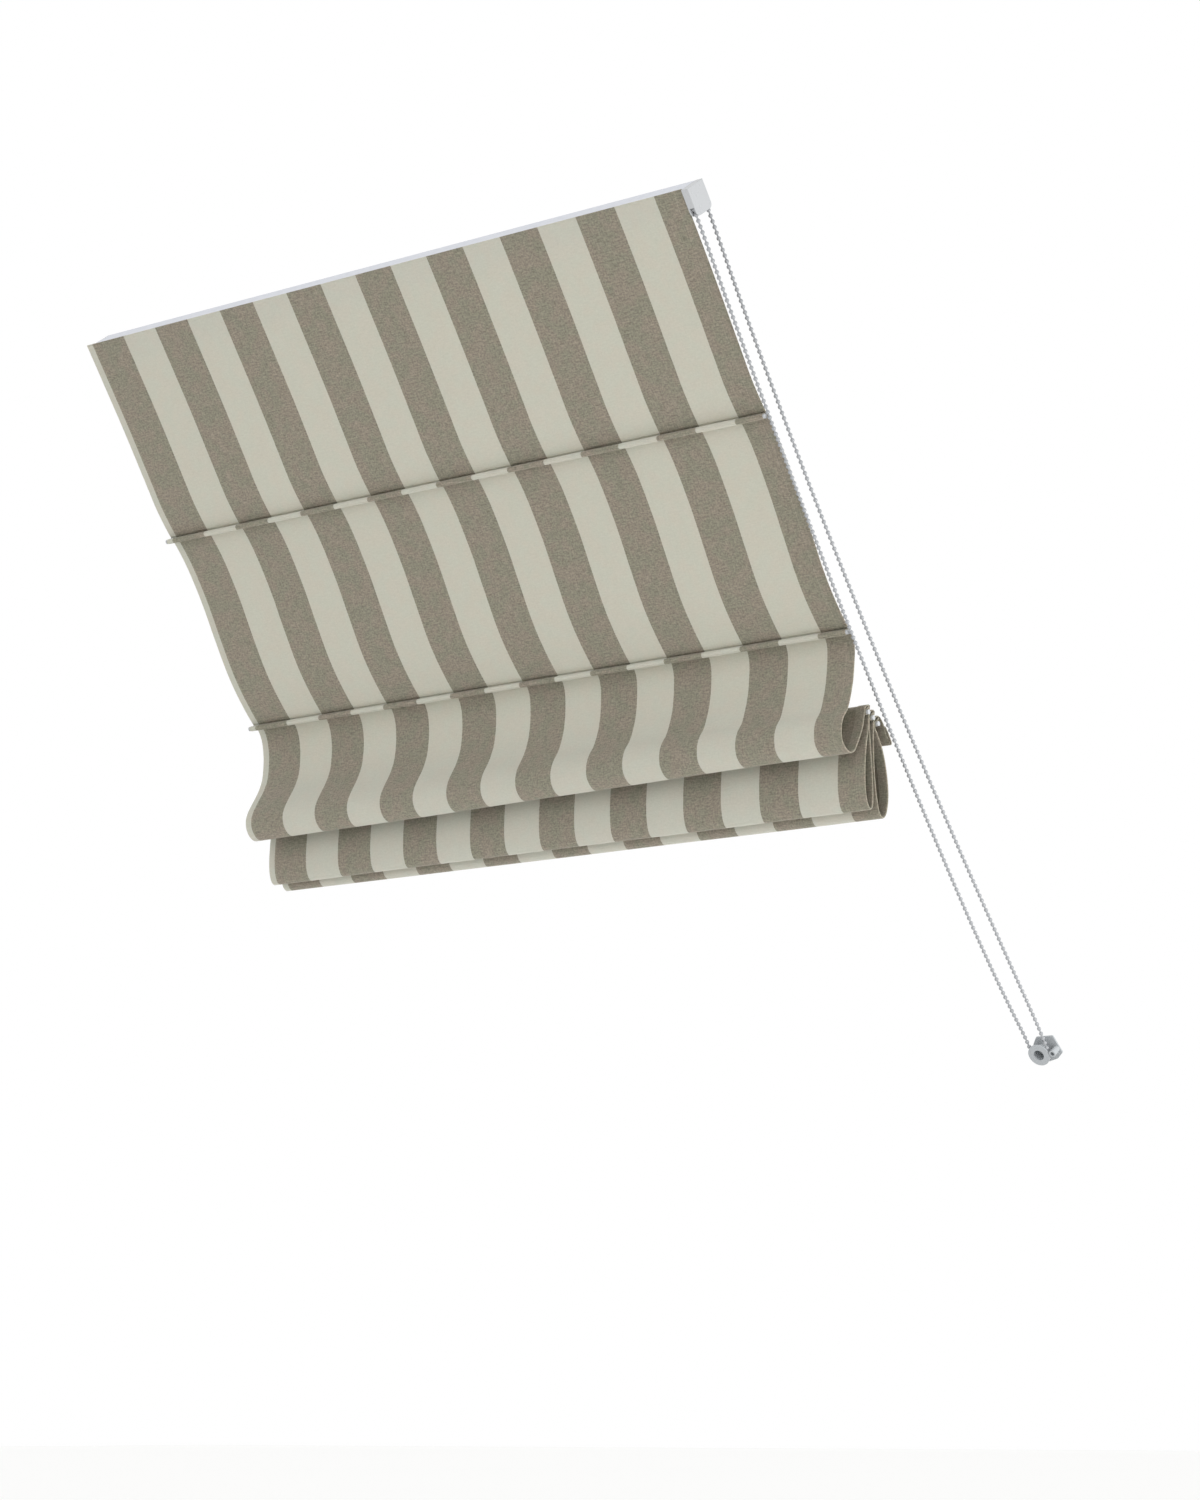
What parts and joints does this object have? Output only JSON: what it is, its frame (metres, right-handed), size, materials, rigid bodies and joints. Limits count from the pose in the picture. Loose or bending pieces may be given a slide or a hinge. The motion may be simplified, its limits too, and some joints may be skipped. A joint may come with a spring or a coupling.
{
  "type": "roman blind",
  "caption": "Striped roman blind for a sloped roof window: slim headrail, rod-stiffened cloth that gathers in loops, lift cords and a bead chain drive with a wall guide.",
  "frame": {"origin": "on the ceiling, midway between the screw holes of the two brackets", "axes": "+X runs along the headrail towards the chain, +Y points towards the window, +Z is plumb; the headrail and the cloth lean 35.4 degrees from plumb, as on the sloped ceiling of a roof window"},
  "size_m": [0.8873, 0.6148, 0.834],
  "materials": {
    "rail_paint": "white powder coat",
    "white_plastic": "moulded white, semi gloss",
    "steel": "zinc plated strip",
    "tape": "white hook and loop tape",
    "drive_plastic": "moulded grey white",
    "cord": "braided white polyester",
    "cloth": "linen look weave with 50 mm taupe and cream stripes",
    "chain_plastic": "white beads on a thread",
    "clear_plastic": "clear moulded plastic",
    "shaft_metal": "drawn bar",
    "rod_glassfibre": "white glass fibre rod",
    "clear_ring": "clear moulded ring",
    "bar_metal": "flat bar"
  },
  "bodies": {
    "headrail": {"headrail": "rail_paint", "end_cap_left": "white_plastic", "drive_plate": "white_plastic", "chain_cover": "white_plastic", "bracket_left": "steel", "bracket_right": "steel", "hook_tape": "tape", "loop_tape": "tape", "cradle_left": "drive_plastic", "cradle_middle": "drive_plastic", "cradle_right": "drive_plastic", "lift_cord_left": "cord", "lift_cord_middle": "cord", "lift_cord_right": "cord", "cloth_panel_1": "cloth", "bead_chain": "chain_plastic", "chain_guide": "clear_plastic"},
    "drive": {"drive_shaft": "shaft_metal", "sprocket": "drive_plastic", "spool_left": "drive_plastic", "spool_middle": "drive_plastic", "spool_right": "drive_plastic"},
    "rod_1": {"rod_1": "rod_glassfibre", "rod_caps_1": "white_plastic", "cord_rings_1": "clear_ring", "cloth_panel_2": "cloth"},
    "rod_2": {"rod_2": "rod_glassfibre", "rod_caps_2": "white_plastic", "cord_rings_2": "clear_ring", "cloth_panel_3": "cloth"},
    "rod_3": {"rod_3": "rod_glassfibre", "rod_caps_3": "white_plastic", "cord_rings_3": "clear_ring", "cloth_panel_4": "cloth"},
    "rod_4": {"rod_4": "rod_glassfibre", "rod_caps_4": "white_plastic", "cord_rings_4": "clear_ring", "cloth_panel_5": "cloth"},
    "rod_5": {"rod_5": "rod_glassfibre", "rod_caps_5": "white_plastic", "cord_rings_5": "clear_ring", "cloth_hem": "cloth", "weight_bar": "bar_metal", "cord_toggles": "white_plastic"}
  },
  "joints": [
    {"name": "rod_1_slide", "type": "slide", "parent": "headrail", "child": "rod_1", "axis": [0, -0.5793, 0.8151], "range_m": [0, 0.18], "deforming": ["cloth_panel_1", "lift_cord_left", "lift_cord_middle", "lift_cord_right"]},
    {"name": "rod_2_slide", "type": "slide", "parent": "rod_1", "child": "rod_2", "axis": [0, -0.5793, 0.8151], "range_m": [0, 0.23], "deforming": ["cloth_panel_2"]},
    {"name": "rod_3_slide", "type": "slide", "parent": "rod_2", "child": "rod_3", "axis": [0, -0.5793, 0.8151], "range_m": [-0.158, 0.07], "deforming": ["cloth_panel_3"]},
    {"name": "rod_4_slide", "type": "slide", "parent": "rod_3", "child": "rod_4", "axis": [0, -0.5793, 0.8151], "range_m": [-0.23, 0], "deforming": ["cloth_panel_4"]},
    {"name": "rod_5_slide", "type": "slide", "parent": "rod_4", "child": "rod_5", "axis": [0, -0.5793, 0.8151], "range_m": [-0.23, 0], "deforming": ["cloth_panel_5"]},
    {"name": "drive_spin", "type": "hinge", "parent": "headrail", "child": "drive", "pos_m": [0, -0.01287, -0.01037], "axis": [1, 0, 0], "range_deg": [-566.9, 1277]}
  ],
  "couplings": [
    {"joint": "drive_spin", "follows": "rod_3_slide", "rad_per_m": -140.84}
  ]
}
